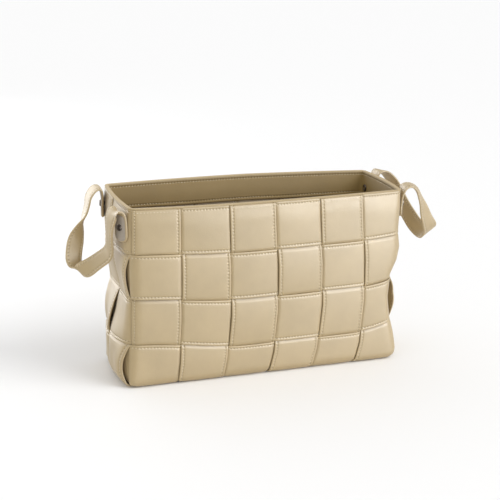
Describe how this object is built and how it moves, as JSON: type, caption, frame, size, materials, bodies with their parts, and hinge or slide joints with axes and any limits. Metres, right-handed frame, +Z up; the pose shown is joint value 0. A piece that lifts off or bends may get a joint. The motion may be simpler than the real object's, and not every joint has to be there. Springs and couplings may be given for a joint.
{
  "type": "storage basket",
  "caption": "Oblong open-topped storage bin woven from flat stitched straps, with a riveted strap loop handle at each end.",
  "frame": {"origin": "centre of the underside of the base, on the surface it stands on", "axes": "+X along the length towards the right handle, +Y from front to back, +Z up"},
  "size_m": [0.4124, 0.1164, 0.192],
  "materials": {
    "strap_leather": "matt coated leather-look",
    "facing_leather": "matt coated leather-look",
    "grey_lining": "matt grey reinforcement",
    "board": "matt covered board",
    "dark_nickel": "dark nickel plate"
  },
  "bodies": {
    "basket": {"base_board": "board", "end_strap_back": "strap_leather", "end_strap_front": "strap_leather", "left_back_rivet": "dark_nickel", "left_back_tab": "strap_leather", "left_back_tab_pad": "grey_lining", "left_back_washer": "dark_nickel", "left_front_rivet": "dark_nickel", "left_front_tab": "strap_leather", "left_front_tab_pad": "grey_lining", "left_front_washer": "dark_nickel", "right_back_rivet": "dark_nickel", "right_back_tab": "strap_leather", "right_back_tab_pad": "grey_lining", "right_back_washer": "dark_nickel", "right_front_rivet": "dark_nickel", "right_front_tab": "strap_leather", "right_front_tab_pad": "grey_lining", "right_front_washer": "dark_nickel", "rim_facing": "facing_leather", "rim_stiffener": "board", "ring_band_1": "strap_leather", "ring_band_2": "strap_leather", "ring_band_3": "strap_leather", "ring_band_4": "strap_leather", "upright_strap_1": "strap_leather", "upright_strap_2": "strap_leather", "upright_strap_3": "strap_leather", "upright_strap_4": "strap_leather", "upright_strap_5": "strap_leather", "upright_strap_6": "strap_leather"},
    "left_handle": {"left_handle_loop": "strap_leather"},
    "right_handle": {"right_handle_loop": "strap_leather"}
  },
  "joints": [
    {"name": "left_handle_swing", "type": "hinge", "parent": "basket", "child": "left_handle", "pos_m": [-0.1595, 0, 0.1865], "axis": [0, 1, 0], "range_deg": [0, 130]},
    {"name": "right_handle_swing", "type": "hinge", "parent": "basket", "child": "right_handle", "pos_m": [0.1595, 0, 0.1865], "axis": [0, -1, 0], "range_deg": [0, 130]}
  ]
}
